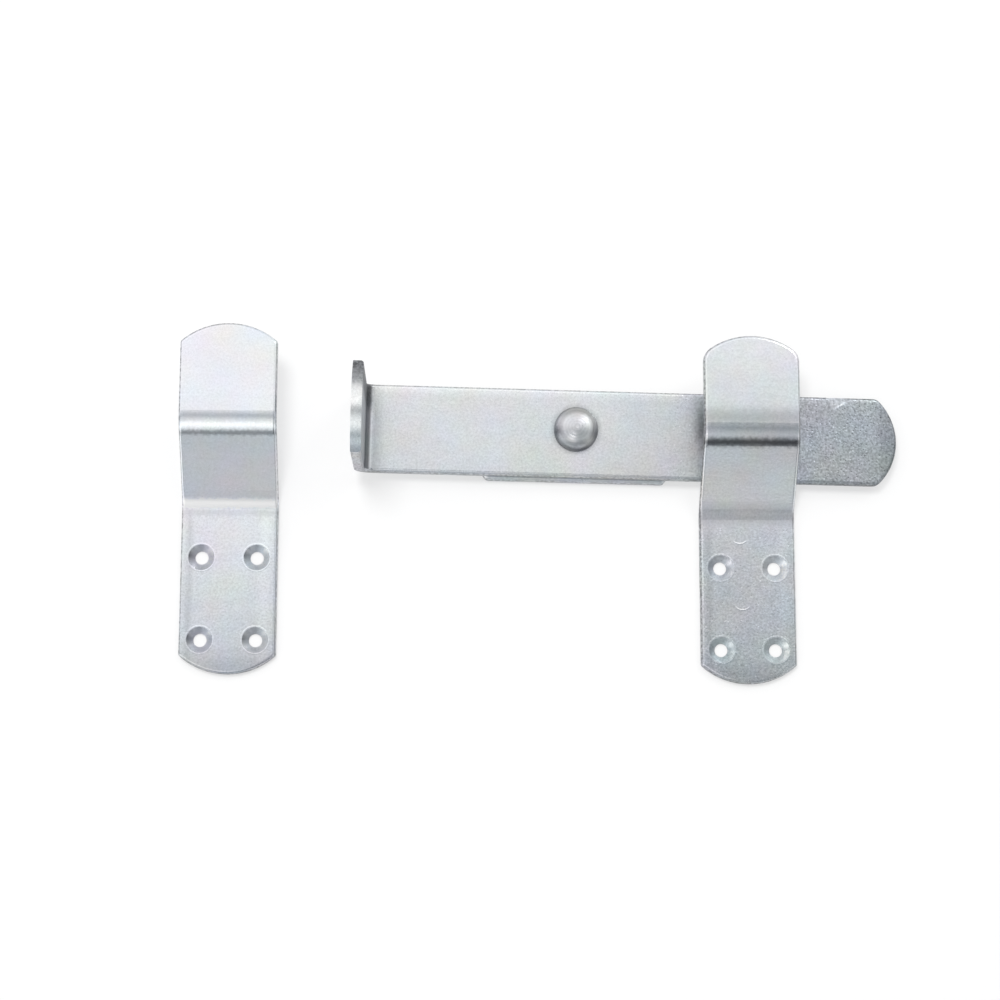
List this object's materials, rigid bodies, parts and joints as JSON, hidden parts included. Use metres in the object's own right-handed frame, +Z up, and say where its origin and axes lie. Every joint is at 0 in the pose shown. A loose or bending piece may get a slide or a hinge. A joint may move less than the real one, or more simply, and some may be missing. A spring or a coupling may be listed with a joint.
{
  "type": "gravity gate latch",
  "caption": "Kick-over gravity latch: a flat bar with a bent foot tab turns on a domed rivet and drops into cranked screw-on keeps.",
  "frame": {"origin": "on the pivot's axis, at the wall: the back face of the pivot plate and of the rivet's flush tail", "axes": "+Z up, +X along the bar from the pivot to its tip, -Y out of the wall towards the user, wall plane at y = 0"},
  "size_m": [0.2621, 0.052, 0.1283],
  "materials": {
    "keep_zinc": "bright zinc plate, satin",
    "bar_zinc": "bright zinc plate, satin, finely pitted at the tip",
    "plate_zinc": "bright zinc plate, satin",
    "rivet_zinc": "smooth zinc plate, soft gloss"
  },
  "bodies": {
    "fixings": {"left_keep": "keep_zinc", "right_keep": "keep_zinc", "pivot_plate": "plate_zinc", "pivot_rivet": "rivet_zinc"},
    "bar": {"latch_bar": "bar_zinc"}
  },
  "joints": [
    {"name": "bar_pivot", "type": "hinge", "parent": "fixings", "child": "bar", "pos_m": [0, -0.0051, 0], "axis": [0, -1, 0], "range_deg": [0, 128]}
  ]
}
